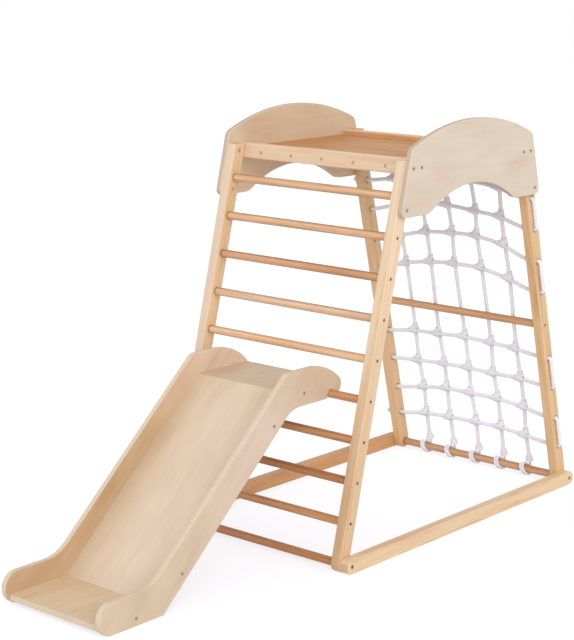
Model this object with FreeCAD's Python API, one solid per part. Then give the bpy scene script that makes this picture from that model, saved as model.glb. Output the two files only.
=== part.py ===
import FreeCAD, Part
import math
import os

# Toddler climbing frame: two ladders lean together under arched side panels with a seat board between
# them. The front ladder has ten rungs and a slide hooked over one of them, the back carries a rope net.
# Millimetres, X to the right, Y to the back, Z up. The origin is on the floor, in the middle of the
# whole footprint from the slide's toe to the back ends of the base rails.

os.makedirs("parts", exist_ok=True)
V = FreeCAD.Vector

# Ladder frame
inner_half_width = 325.0
stile_width = 34.0
stile_depth = 47.0
stile_top = 1210.0
lean_deg = 13.9
foot_half_span = 602.0
foot_axis_height = 23.0
wood_round = 3.0

# Rungs and the bars of the back
rung_count = 10
rung_pitch = 120.0
rung_radius = 13.0
rung_tenon = 8.0
mid_bar_height = 585.0
top_bar_height = 1138.0

# Base rails
base_rail_width = 32.0
base_rail_height = 2 * foot_axis_height

# Top rails and seat board
top_rail_height = 46.0
top_rail_thickness = 30.0
board_thickness = 18.0
seat_drop = 17.0
seat_screw_pitch = 126.0
seat_screws_per_rail = 5

# Arched side panels
panel_thickness = 18.0
panel_overhang = 0.5
panel_peak = 1317.0
panel_top_radius = 780.0
panel_foot = 1043.0
arch_peak = 1116.0
arch_radius = 390.0
arch_blend_radius = 70.0
panel_shoulder_round = 30.0
panel_heel_round = 20.0
panel_bolt_high = 1188.0
panel_bolt_low = 1066.0

# Rope net
rope_radius = 7.0
lashing_radius = 4.5
rope_gap = 0.4
column_count = 5
column_pitch = 109.0
row_heights = [1027.0, 922.0, 811.0, 703.0, 466.0, 359.0, 244.0, 141.0]
row_rises = [34.0, 45.0, 60.0, 56.0, 20.0, 10.0, 30.0, 21.0]
row_skews = [0.6, 0.0, 0.33, 0.1, 0.0, 0.0, 0.0, 0.0]
wander_x = 5.0
wander_x_turn_per_row = 2.3
wander_x_turn_per_column = 1.9
wander_z = 3.0
wander_z_turn_per_row = 1.7
wander_z_turn_per_column = 2.6
winding_turns = 1.75
winding_pitch = 9.8
connector_ball = 16.5
sleeve_radius = 10.2
sleeve_length = 38.0
connector_slack = 1.2
rope_hole_radius = 7.8
hole_mouth_radius = 12.0
hole_mouth_depth = 9.0
mouth_inset = 16.0
lacing_bend = 12.0
knot_radius = 14.0
clamp_start = 24.5
clamp_length = 22.0
clamp_wide = 15.0
clamp_narrow = 9.4
clamp_seat = 6.0
lashing_bite = 5.0

# Slide, with lengths forward (-Y) and back (+Y) of the rung that it hooks over
slide_rung = 6
slide_half_width = 202.0
slide_panel_thickness = 18.0
slide_deg = 41.6
slide_deck = 535.5
slide_hump = 601.0
slide_underside = 489.0
slide_deck_seam = -177.0
slide_exit_top = 32.0
slide_wall = 63.0
slide_panel_depth = 97.0
hump_back_start = -95.0
hump_back_radius = 207.0
hook_tip = 53.0
hook_tip_radius = 30.0
hook_tail_deg = -50.0
hook_gap = 0.6
hump_front_round = 40.0
throat_round = 95.0
foot_blend_round = 130.0
slide_toe = -972.0
slide_toe_height = 96.0
deck_back_end = 48.0
exit_front_end = -956.0
deck_bolt = -122.0
incline_bolt_runs = [642.0, 117.0]
exit_bolt = -833.0

# Fasteners
screw_shank = 2.4
screw_head = 5.0
screw_head_height = 3.0
screw_recess = 6.0
screw_grip = 40.0
seat_screw_head = 6.0
seat_screw_recess = 2.0
seat_screw_length = 62.0
cross_slot_length = 7.0
cross_slot_width = 1.6
cross_slot_depth = 1.4
bolt_shank = 3.0
bolt_head = 6.0
bolt_head_height = 3.5
bolt_recess = 4.5
rail_bolt_depth = 44.0
slide_bolt_depth = 56.0
foot_bolt_head = 6.2
foot_bolt_head_height = 5.0
foot_bolt_recess = 8.0
socket_flats = 5.0
socket_share = 0.6
nut_radius = 5.0
nut_from_bolt_end = 6.0
rail_nut_half = 8.0
slide_nut_below = 6.0
slide_nut_above = 5.0
sleeve_nut_length = 18.0
sleeve_nut_blind = 4.0
sleeve_nut_flange = 7.0
sleeve_nut_flange_height = 1.6
sleeve_nut_slot = 2.0
sleeve_nut_slot_depth = 1.0

# Clearances and small edge rounds
slack = 0.15
joint_gap = 0.1
overshoot = 1.0
bar_round = 1.0
plastic_round = 1.5

# Derived places
lean = math.radians(lean_deg)
slope = math.tan(lean)
stile_outer = inner_half_width + stile_width
rail_outer = stile_outer + base_rail_width
panel_outer = stile_outer + panel_thickness
slide_inner = slide_half_width - slide_panel_thickness
rung_heights = [foot_axis_height + (rung_count - 1 - i) * rung_pitch for i in range(rung_count)]
column_places = [(i - (column_count - 1) / 2) * column_pitch for i in range(column_count)]
seat_top = stile_top - seat_drop
along_x = V(1, 0, 0)


def back_y(height):
    # Distance of a stile's centreline from the plane that halves the frame
    return foot_half_span - slope * (height - foot_axis_height)


hook_height = rung_heights[slide_rung - 1]
hook_y = -back_y(hook_height)
frame_y = -(hook_y + slide_toe + foot_half_span + base_rail_height / 2) / 2

# Directions of the back ladder: up along the stiles, and outward square to their plane
up_back = V(0, -math.sin(lean), math.cos(lean))
out_back = V(0, math.cos(lean), math.sin(lean))


def save(name, shape):
    placed = shape.copy()
    placed.translate(V(0, frame_y, 0))
    placed.exportStep("parts/" + name + ".step")
    solids = placed.Solids
    volume = sum(solid.Volume for solid in solids) / 1000
    print(name, "solids", len(solids), "valid", placed.isValid(), "cm3", round(volume, 1))


def mirror_x(shape):
    return shape.mirror(V(0, 0, 0), V(1, 0, 0))


def mirror_y(shape):
    return shape.mirror(V(0, 0, 0), V(0, 1, 0))


def all_corners(shape):
    return [shape, mirror_x(shape), mirror_y(shape), mirror_x(mirror_y(shape))]


def rod(radius, start, end):
    axis = end - start
    return Part.makeCylinder(radius, axis.Length, start, axis)


def rod_x(radius, x_start, x_end, y, z):
    return rod(radius, V(x_start, y, z), V(x_end, y, z))


def outline_solid(edges, x_start, x_end):
    # Sweep a closed outline, drawn in the YZ plane, from one X to another
    face = Part.Face(Part.Wire(Part.__sortEdges__(edges)))
    solid = face.extrude(V(x_end - x_start, 0, 0))
    solid.translate(V(x_start, 0, 0))
    return solid


def segment(start, end):
    return Part.LineSegment(start, end).toShape()


def arc(start, middle, end):
    return Part.Arc(start, middle, end).toShape()


def rounded_outline(corners):
    # Corners are (y, z, radius): straight sides joined by tangent arcs, radius 0 leaves a sharp corner
    count = len(corners)
    points = [V(0, y, z) for y, z, radius in corners]
    entries = []
    for i in range(count):
        before = (points[i - 1] - points[i]).normalize()
        after = (points[(i + 1) % count] - points[i]).normalize()
        radius = corners[i][2]
        half = before.getAngle(after) / 2
        reach = radius / math.tan(half)
        bisector = (before + after).normalize()
        middle = points[i] + bisector * (radius / math.sin(half) - radius)
        entries.append((points[i] + before * reach, middle, points[i] + after * reach, radius))
    edges = []
    for i in range(count):
        start, middle, end, radius = entries[i]
        if radius > 0:
            edges.append(arc(start, middle, end))
        following = entries[(i + 1) % count][0]
        if (following - end).Length > 0.01:
            edges.append(segment(end, following))
    return edges


def round_edges(solid, radius, wanted):
    return solid.makeFillet(radius, [edge for edge in solid.Edges if wanted(edge)])


def runs_along(direction):
    def wanted(edge):
        if edge.Curve.TypeId != "Part::GeomLine":
            return False
        return abs(edge.Curve.Direction.dot(direction)) > 0.9999
    return wanted


def on_face_x(x_values):
    # Edges that lie in one of the given planes of constant X
    def wanted(edge):
        box = edge.BoundBox
        flat = box.XLength < 0.01
        return flat and any(abs(box.XMin - x) < 0.01 for x in x_values)
    return wanted


def is_circle(edge):
    return edge.Curve.TypeId == "Part::GeomCircle"


def hex_socket(x_face, inward, y, z, depth):
    # Six-sided recess of a screw head, opening at x_face
    corner = socket_flats / 2 / math.cos(math.pi / 6)
    points = []
    for i in range(7):
        turn = i * math.pi / 3
        points.append(V(x_face, y + corner * math.cos(turn), z + corner * math.sin(turn)))
    return Part.Face(Part.makePolygon(points)).extrude(V(inward * depth, 0, 0))


# Screws and bolts run along X from the right, with the head sunk in the outer face

def sunk_screw(x_face, recess, head_radius, head_height, shank_radius, x_end, y, z):
    head = rod_x(head_radius, x_face - recess, x_face - recess + head_height, y, z)
    shank = rod_x(shank_radius, x_end, x_face - recess, y, z)
    top = x_face - recess + head_height
    return head.fuse(shank).removeSplitter().cut(hex_socket(top, -1, y, z, head_height * socket_share))


def sunk_bore(x_face, recess, head_radius, shank_radius, x_end, y, z):
    head = rod_x(head_radius + 2 * slack, x_face - recess, x_face + overshoot, y, z)
    shank = rod_x(shank_radius + slack, x_end - overshoot, x_face - recess + joint_gap, y, z)
    return head.fuse(shank)


screw_end = inner_half_width + rung_tenon - screw_grip


def rung_screw(y, z):
    return sunk_screw(stile_outer, screw_recess, screw_head, screw_head_height, screw_shank, screw_end, y, z)


def rung_screw_bore(y, z):
    return sunk_bore(stile_outer, screw_recess, screw_head, screw_shank, screw_end, y, z)


def foot_bolt(y):
    return sunk_screw(rail_outer, foot_bolt_recess, foot_bolt_head, foot_bolt_head_height, bolt_shank,
                      screw_end, y, foot_axis_height)


def foot_bolt_bore(y):
    return sunk_bore(rail_outer, foot_bolt_recess, foot_bolt_head, bolt_shank, screw_end, y, foot_axis_height)


# Panel bolts of one right-hand corner: two into the stile and one into the end of the top rail
stile_half_run = stile_depth / 2 / math.cos(lean)
rail_half_run = top_rail_thickness / 2 / math.cos(lean)
rail_bolt_y = back_y(panel_bolt_high) - stile_half_run - rail_half_run
rail_bolt_end = stile_outer - rail_bolt_depth
stile_bolt_end = inner_half_width + sleeve_nut_blind + 2 * overshoot
stile_bolts = [(back_y(panel_bolt_high), panel_bolt_high), (back_y(panel_bolt_low), panel_bolt_low)]


def panel_bolt(y, z, x_end):
    return sunk_screw(panel_outer, bolt_recess, bolt_head, bolt_head_height, bolt_shank, x_end, y, z)


def panel_bolt_bore(y, z, x_end):
    return sunk_bore(panel_outer, bolt_recess, bolt_head, bolt_shank, x_end, y, z)


def sleeve_nut(y, z):
    # Slotted sleeve nut let into the inner face of a stile
    face = inner_half_width
    flange = rod_x(sleeve_nut_flange, face, face + sleeve_nut_flange_height, y, z)
    body = rod_x(nut_radius, face, face + sleeve_nut_length, y, z)
    bore = rod_x(bolt_shank + slack, face + sleeve_nut_blind, face + sleeve_nut_length + overshoot, y, z)
    slot_length = 2 * sleeve_nut_flange + 2 * overshoot
    slot = Part.makeBox(sleeve_nut_slot_depth + overshoot, sleeve_nut_slot, slot_length,
                        V(face - overshoot, y - sleeve_nut_slot / 2, z - slot_length / 2))
    return flange.fuse(body).removeSplitter().cut(bore).cut(slot)


def sleeve_nut_bore(y, z):
    face = inner_half_width
    flange = rod_x(sleeve_nut_flange + slack, face - overshoot, face + sleeve_nut_flange_height, y, z)
    body = rod_x(nut_radius + slack, face, face + sleeve_nut_length + slack, y, z)
    return flange.fuse(body)


# Base rail on the right, rounded at both ends about the foot bolts

def base_rail():
    half = foot_half_span + base_rail_height / 2
    end = base_rail_height / 2 - 0.01
    corners = [(-half, 0, end), (half, 0, end), (half, base_rail_height, end), (-half, base_rail_height, end)]
    rail = outline_solid(rounded_outline(corners), stile_outer, rail_outer)
    rail = round_edges(rail, wood_round, runs_along(V(0, 1, 0)))
    for y in (-foot_half_span, foot_half_span):
        rail = rail.cut(foot_bolt_bore(y))
    return rail


# Stile of the back ladder on the right, before anything is bored

def plain_stile():
    foot = V(0, foot_half_span, foot_axis_height)
    half = stile_depth / 2
    top_length = (stile_top - foot_axis_height) / math.cos(lean)
    rise = half * slope
    outer_top = foot + out_back * half + up_back * (top_length - rise)
    inner_top = foot - out_back * half + up_back * (top_length + rise)
    outer_foot = foot + out_back * half
    inner_foot = foot - out_back * half
    edges = [
        segment(outer_foot, outer_top),
        segment(outer_top, inner_top),
        segment(inner_top, inner_foot),
        arc(inner_foot, foot - up_back * half, outer_foot),
    ]
    stile = outline_solid(edges, inner_half_width, stile_outer)
    stile = round_edges(stile, wood_round, runs_along(up_back))
    stile = stile.cut(foot_bolt_bore(foot_half_span))
    for y, z in stile_bolts:
        stile = stile.cut(panel_bolt_bore(y, z, stile_bolt_end))
        stile = stile.cut(sleeve_nut_bore(y, z))
    return stile


def rung_pocket(height):
    mouth = inner_half_width - overshoot
    bottom = inner_half_width + rung_tenon + slack
    return rod_x(rung_radius + slack, mouth, bottom, back_y(height), height)


def ladder_stile(heights):
    stile = plain_stile()
    for height in heights:
        stile = stile.cut(rung_pocket(height))
        if height > foot_axis_height:
            stile = stile.cut(rung_screw_bore(back_y(height), height))
    return stile


def rope_hole(height):
    # Hole for the lacing rope, with both mouths opened out
    y = back_y(height)
    hole = rod_x(rope_hole_radius, inner_half_width - overshoot, stile_outer + overshoot, y, height)
    wide = hole_mouth_radius
    outside = Part.makeCone(rope_hole_radius, wide, hole_mouth_depth,
                            V(stile_outer - hole_mouth_depth, y, height), along_x)
    inside = Part.makeCone(wide, rope_hole_radius, hole_mouth_depth, V(inner_half_width, y, height), along_x)
    return hole.fuse(outside).fuse(inside)


def net_stile(heights):
    stile = ladder_stile(heights)
    for height in row_heights:
        stile = stile.cut(rope_hole(height))
    return stile


def bar(y, z):
    end = inner_half_width + rung_tenon
    shape = rod_x(rung_radius, -end, end, y, z)
    shape = round_edges(shape, bar_round, is_circle)
    if z > foot_axis_height:
        bore = rung_screw_bore(y, z)
    else:
        bore = foot_bolt_bore(y)
    return shape.cut(bore).cut(mirror_x(bore))


# Top rail at the back: it lies against the front faces of the back stiles and leans with them

def rail_corner(across, height):
    # Point at a height, on a plane parallel to the stiles and across from their centre plane
    return V(0, back_y(height) - across / math.cos(lean), height)


def seat_screw_places():
    first = -(seat_screws_per_rail - 1) / 2 * seat_screw_pitch
    return [first + i * seat_screw_pitch for i in range(seat_screws_per_rail)]


seat_screw_height = seat_top - board_thickness / 2
seat_screw_seat = seat_screw_recess + screw_head_height


def seat_screw_place(x, depth):
    # Point on a seat screw's axis, at a depth from the outer side of the top rail
    return V(x, back_y(seat_screw_height) - stile_half_run - depth, seat_screw_height)


def cross_slot(top, length_x, length_z):
    corner = top - V(length_x / 2, cross_slot_depth, length_z / 2)
    return Part.makeBox(length_x, cross_slot_depth + overshoot, length_z, corner)


def seat_screw(x):
    top = seat_screw_place(x, seat_screw_recess)
    head = rod(seat_screw_head, top, seat_screw_place(x, seat_screw_seat))
    shank = rod(screw_shank, seat_screw_place(x, seat_screw_seat), seat_screw_place(x, seat_screw_length))
    screw = head.fuse(shank).removeSplitter()
    screw = screw.cut(cross_slot(top, cross_slot_length, cross_slot_width))
    return screw.cut(cross_slot(top, cross_slot_width, cross_slot_length))


def seat_screw_bore(x):
    seat = seat_screw_place(x, seat_screw_seat)
    head = rod(seat_screw_head + 2 * slack, seat_screw_place(x, -seat_screw_head), seat)
    shank_start = seat_screw_place(x, seat_screw_seat - joint_gap)
    shank = rod(screw_shank + slack, shank_start, seat_screw_place(x, seat_screw_length + overshoot))
    return head.fuse(shank)


rail_nut_x = rail_bolt_end + nut_from_bolt_end


def rail_nut(y, z):
    # Barrel nut that crosses the rail near its end, with its axis along the height of the rail
    middle = V(rail_nut_x, y, z)
    nut = rod(nut_radius, middle - up_back * rail_nut_half, middle + up_back * rail_nut_half)
    return nut.cut(rod_x(bolt_shank + slack, rail_nut_x - 2 * nut_radius, stile_outer, y, z))


def rail_nut_bore(y, z):
    middle = V(rail_nut_x, y, z)
    top = middle + up_back * (rail_nut_half + slack)
    return rod(nut_radius + slack, middle - up_back * top_rail_height, top)


def top_rail():
    near = stile_depth / 2 + joint_gap / 2
    far = near + top_rail_thickness
    low = stile_top - top_rail_height
    edges = [
        segment(rail_corner(near, low), rail_corner(near, stile_top)),
        segment(rail_corner(near, stile_top), rail_corner(far, stile_top)),
        segment(rail_corner(far, stile_top), rail_corner(far, low)),
        segment(rail_corner(far, low), rail_corner(near, low)),
    ]
    rail = outline_solid(edges, -stile_outer, stile_outer)
    rail = round_edges(rail, wood_round, runs_along(along_x))
    bolt = panel_bolt_bore(rail_bolt_y, panel_bolt_high, rail_bolt_end)
    nut = rail_nut_bore(rail_bolt_y, panel_bolt_high)
    rail = rail.cut(bolt).cut(mirror_x(bolt)).cut(nut).cut(mirror_x(nut))
    for x in seat_screw_places():
        rail = rail.cut(seat_screw_bore(x))
    return rail


def seat_board():
    low = seat_top - board_thickness
    edge_gap = stile_depth / 2 + top_rail_thickness + joint_gap
    back_high = rail_corner(edge_gap, seat_top)
    back_low = rail_corner(edge_gap, low)
    front_high = V(0, -back_high.y, back_high.z)
    front_low = V(0, -back_low.y, back_low.z)
    edges = [
        segment(back_high, front_high),
        segment(front_high, front_low),
        segment(front_low, back_low),
        segment(back_low, back_high),
    ]
    board = outline_solid(edges, -stile_outer + joint_gap, stile_outer - joint_gap)
    for x in seat_screw_places():
        bore = seat_screw_bore(x)
        board = board.cut(bore).cut(mirror_y(bore))
    return board


# Arched side panel on the right

def panel_edge_y(height):
    return back_y(height) + stile_half_run + panel_overhang / math.cos(lean)


def side_panel():
    arch_centre = arch_peak - arch_radius
    blend_z = panel_foot + arch_blend_radius
    blend_y = math.sqrt((arch_radius + arch_blend_radius) ** 2 - (blend_z - arch_centre) ** 2)
    share = arch_radius / (arch_radius + arch_blend_radius)
    meet = V(0, blend_y * share, arch_centre + (blend_z - arch_centre) * share)
    blend_end = V(0, blend_y, panel_foot)
    blend_turn = math.atan2(meet.y - blend_y, blend_z - meet.z) / 2
    blend_middle = V(0, blend_y + arch_blend_radius * math.sin(blend_turn),
                     blend_z - arch_blend_radius * math.cos(blend_turn))
    heel = V(0, panel_edge_y(panel_foot), panel_foot)
    top_centre = panel_peak - panel_top_radius
    shoulder_z = panel_peak
    for step in range(20):
        shoulder_z = top_centre + math.sqrt(panel_top_radius ** 2 - panel_edge_y(shoulder_z) ** 2)
    shoulder = V(0, panel_edge_y(shoulder_z), shoulder_z)
    peak = V(0, 0, panel_peak)

    def other(point):
        return V(0, -point.y, point.z)

    edges = [
        arc(other(meet), V(0, 0, arch_peak), meet),
        arc(meet, blend_middle, blend_end),
        segment(blend_end, heel),
        segment(heel, shoulder),
        arc(shoulder, peak, other(shoulder)),
        segment(other(shoulder), other(heel)),
        segment(other(heel), other(blend_end)),
        arc(other(blend_end), other(blend_middle), other(meet)),
    ]
    panel = outline_solid(edges, stile_outer, panel_outer)

    def corner_at(point):
        def wanted(edge):
            box = edge.BoundBox
            return box.XLength > 1 and abs(abs(box.YMin) - point.y) < 0.1 and abs(box.ZMin - point.z) < 0.1
        return wanted

    panel = round_edges(panel, panel_heel_round, corner_at(heel))
    panel = round_edges(panel, panel_shoulder_round, corner_at(shoulder))
    panel = round_edges(panel, wood_round, on_face_x([stile_outer, panel_outer]))
    for y, z in stile_bolts:
        bore = panel_bolt_bore(y, z, stile_bolt_end)
        panel = panel.cut(bore).cut(mirror_y(bore))
    bore = panel_bolt_bore(rail_bolt_y, panel_bolt_high, rail_bolt_end)
    return panel.cut(bore).cut(mirror_y(bore))


# Rope net: places of the crossings, and tubes of straight runs and arcs

vertical_out = rung_radius + rope_gap + rope_radius
winding_out = rung_radius + rope_gap + lashing_radius
row_out = vertical_out - 2 * rope_radius - rope_gap


def net_point(x, height, out):
    return V(x, back_y(height), height) + out_back * out


def crossing(row, column, out):
    turn_x = wander_x_turn_per_row * row + wander_x_turn_per_column * column
    turn_z = wander_z_turn_per_row * row + wander_z_turn_per_column * column
    x = column_places[column] + wander_x * math.sin(turn_x)
    share = x / inner_half_width
    arch = row_rises[row] * (1 - share ** 2) * (1 + row_skews[row] * share)
    height = row_heights[row] + arch + wander_z * math.cos(turn_z)
    return net_point(x, height, out)


bend_radii = []


def route_edges(points, reaches):
    # Straight runs with a tangent arc at each inner point, each arc starting at its reach from the point
    edges = []
    start = points[0]
    for i in range(1, len(points) - 1):
        before = (points[i - 1] - points[i]).normalize()
        after = (points[i + 1] - points[i]).normalize()
        half = before.getAngle(after) / 2
        reach = reaches[i]
        radius = reach * math.tan(half)
        middle = points[i] + (before + after).normalize() * (radius / math.sin(half) - radius)
        first = points[i] + before * reach
        last = points[i] + after * reach
        edges.append(segment(start, first))
        edges.append(arc(first, middle, last))
        bend_radii.append(radius)
        start = last
    edges.append(segment(start, points[-1]))
    return edges


def biarc(start, start_way, end, end_way):
    # Two arcs that leave start along start_way, meet smoothly, and reach end along end_way
    across = end - start
    ways = start_way + end_way
    a = 2 * (1 - start_way.dot(end_way))
    b = 2 * across.dot(ways)
    c = -across.dot(across)
    reach = (-b + math.sqrt(b * b - 4 * a * c)) / (2 * a)
    meet = (start + start_way * reach + end - end_way * reach) * 0.5
    arcs = []
    for first, corner, last in ((start, start + start_way * reach, meet), (meet, end - end_way * reach, end)):
        chord_middle = (first + last) * 0.5
        inward = chord_middle - corner
        half = (first - corner).getAngle(last - corner) / 2
        radius = reach * math.tan(half)
        middle = corner + inward.normalize() * (radius / math.sin(half) - radius)
        arcs.append(arc(first, middle, last))
    return arcs


def winding_stations(x, bar_height, rise):
    # Quarter-turn stations from the standing part: rise is 1 above the top bar and -1 at the bottom bar
    axis = V(x, back_y(bar_height), bar_height)
    quarters = int(winding_turns * 4)
    stations = []
    for i in range(quarters + 1):
        turn = i * math.pi / 2
        radial = out_back * math.cos(turn) + up_back * (rise * math.sin(turn))
        around = out_back * -math.sin(turn) + up_back * (rise * math.cos(turn))
        place = axis + radial * winding_out - along_x * (winding_pitch * i / 4)
        way = around * winding_out - along_x * (winding_pitch / (2 * math.pi))
        stations.append((place, way.normalize()))
    return stations


def station_edges(stations):
    edges = []
    for i in range(len(stations) - 1):
        start, start_way = stations[i]
        end, end_way = stations[i + 1]
        edges.extend(biarc(start, start_way, end, end_way))
    end, end_way = stations[-1]
    edges.append(segment(end, end + end_way * 2 * lashing_radius))
    return edges


def tube(edges, radius, name):
    wire = Part.Wire(edges)
    first = edges[0]
    start = first.valueAt(first.FirstParameter)
    way = first.tangentAt(first.FirstParameter)
    section = Part.Wire(Part.makeCircle(radius, start, way))
    solid = wire.makePipeShell([section], True, False)
    expected = math.pi * radius ** 2 * wire.Length
    print(name, "length", round(wire.Length), "volume over section times length",
          round(abs(solid.Volume) / expected, 4))
    return solid


def self_gap(edges):
    # Least distance between stretches of one winding that lie more than half a turn apart
    points = []
    run = 0.0
    for edge in edges:
        for point in edge.discretize(9)[1:]:
            if points:
                run += (point - points[-1][1]).Length
            points.append((run, point))
    apart = math.pi * winding_out
    least = 1.0e6
    for run_a, a in points:
        for run_b, b in points:
            if run_b - run_a > apart:
                least = min(least, (a - b).Length)
    return least - 2 * lashing_radius


def vertical_points(column):
    points = [net_point(column_places[column], top_bar_height, winding_out)]
    for row in range(len(row_heights)):
        points.append(crossing(row, column, vertical_out))
    points.append(net_point(column_places[column], foot_axis_height, winding_out))
    return points


def vertical_rope(column):
    # The rope reaches from collar to collar, and a thinner lashing goes on from each end round the bar
    name = "net_vertical_rope_" + str(column + 1)
    points = vertical_points(column)
    rope_start = clamp_start + clamp_seat
    top_way = (points[1] - points[0]).normalize()
    bottom_way = (points[-2] - points[-1]).normalize()
    ends = [(points[0], top_way, top_bar_height, 1), (points[-1], bottom_way, foot_axis_height, -1)]
    points[0] = points[0] + top_way * rope_start
    points[-1] = points[-1] + bottom_way * rope_start
    reaches = [sleeve_length / 2] * len(points)
    rope = tube(route_edges(points, reaches), rope_radius, name)
    for bar_point, way, bar_height, rise in ends:
        stations = winding_stations(column_places[column], bar_height, rise)
        stations[0] = (bar_point, way * -1)
        turns = station_edges(stations)
        print("winding gap", round(self_gap(turns), 2))
        lead = segment(bar_point + way * (rope_start + lashing_bite), bar_point)
        rope = rope.fuse(tube([lead] + turns, lashing_radius, name + " lashing"))
    return rope.removeSplitter()


stretch_x = stile_outer + rope_radius + 2 * rope_gap
mouth_x = inner_half_width - mouth_inset


def lacing_points():
    # From the knot outside the left stile, to and fro through the stiles, to the knot below
    knot_x = stile_outer + knot_radius
    points = [net_point(-knot_x, row_heights[0], 0)]
    reaches = [0.0]
    for row, height in enumerate(row_heights):
        side = -1 if row % 2 == 0 else 1
        points.append(net_point(side * mouth_x, height, 0))
        reaches.append(sleeve_length / 2)
        columns = range(column_count) if side < 0 else reversed(range(column_count))
        for column in columns:
            points.append(crossing(row, column, row_out))
            reaches.append(sleeve_length / 2)
        points.append(net_point(-side * mouth_x, height, 0))
        reaches.append(sleeve_length / 2)
        if row + 1 < len(row_heights):
            points.append(net_point(-side * stretch_x, height, 0))
            points.append(net_point(-side * stretch_x, row_heights[row + 1], 0))
            reaches.extend([lacing_bend, lacing_bend])
    last_side = -1 if len(row_heights) % 2 == 0 else 1
    points.append(net_point(last_side * knot_x, row_heights[-1], 0))
    reaches.append(0.0)
    return points, reaches


def lacing_rope():
    points, reaches = lacing_points()
    rope = tube(route_edges(points, reaches), rope_radius, "net_lacing_rope")
    for end in (points[0], points[-1]):
        side = math.copysign(1.0, end.x)
        knot = Part.makeSphere(knot_radius, V(side * (stile_outer + knot_radius + rope_gap), end.y, end.z))
        rope = rope.fuse(knot)
    return rope.removeSplitter()


def grip_line(before, corner, after):
    # Middle and direction of the straight sleeve that best holds a rope bending at the corner
    back = (before - corner).normalize()
    onward = (after - corner).normalize()
    reach = sleeve_length / 2
    half = back.getAngle(onward) / 2
    radius = reach * math.tan(half)
    bend_middle = corner + (back + onward).normalize() * (radius / math.sin(half) - radius)
    ends_middle = corner + (back + onward) * (reach / 2)
    return (bend_middle + ends_middle) * 0.5, (onward - back).normalize()


def row_neighbour(row, column):
    if column < 0:
        return net_point(-mouth_x, row_heights[row], 0)
    if column >= column_count:
        return net_point(mouth_x, row_heights[row], 0)
    return crossing(row, column, row_out)


def sleeve(centre, way):
    half = way * (sleeve_length / 2)
    body = rod(sleeve_radius, centre - half, centre + half)
    return round_edges(body, plastic_round, is_circle)


def sleeve_bore(centre, way):
    half = way * sleeve_length
    return rod(rope_radius + connector_slack, centre - half, centre + half)


def cross_connector(row, column):
    points = vertical_points(column)
    upright, upright_way = grip_line(points[row], points[row + 1], points[row + 2])
    level, level_way = grip_line(row_neighbour(row, column - 1), crossing(row, column, row_out),
                                 row_neighbour(row, column + 1))
    body = Part.makeSphere(connector_ball, (upright + level) * 0.5)
    body = body.fuse(sleeve(upright, upright_way)).fuse(sleeve(level, level_way))
    return body.cut(sleeve_bore(upright, upright_way)).cut(sleeve_bore(level, level_way))


def bar_clamp(column, lower):
    # Collar that holds the standing part of a vertical rope close to the bar it is wound on
    points = vertical_points(column)
    bar_end, along = (points[-1], points[-2]) if lower else (points[0], points[1])
    way = (along - bar_end).normalize()
    start = bar_end + way * clamp_start
    collar = Part.makeCone(clamp_wide, clamp_narrow, clamp_length, start, way)
    collar = round_edges(collar, plastic_round, is_circle)
    bore = rod(rope_radius + rope_gap, start - way * overshoot, start + way * (clamp_length + overshoot))
    return collar.cut(bore)


# Slide: outlines are drawn forward and back of the rung it hooks over, then moved to it

slide_tilt = math.radians(slide_deg)
slide_slope = math.tan(slide_tilt)
exit_seam = slide_deck_seam - (slide_deck - slide_exit_top) / slide_slope
seam_shift = board_thickness * math.tan(slide_tilt / 2)
wall_line = slide_deck + slide_wall / math.cos(slide_tilt)
belly_line = wall_line - slide_panel_depth / math.cos(slide_tilt)


def incline_at(level, height):
    # Distance from the hook at which a line parallel to the incline reaches a height
    return slide_deck_seam - (level - height) / slide_slope


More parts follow.
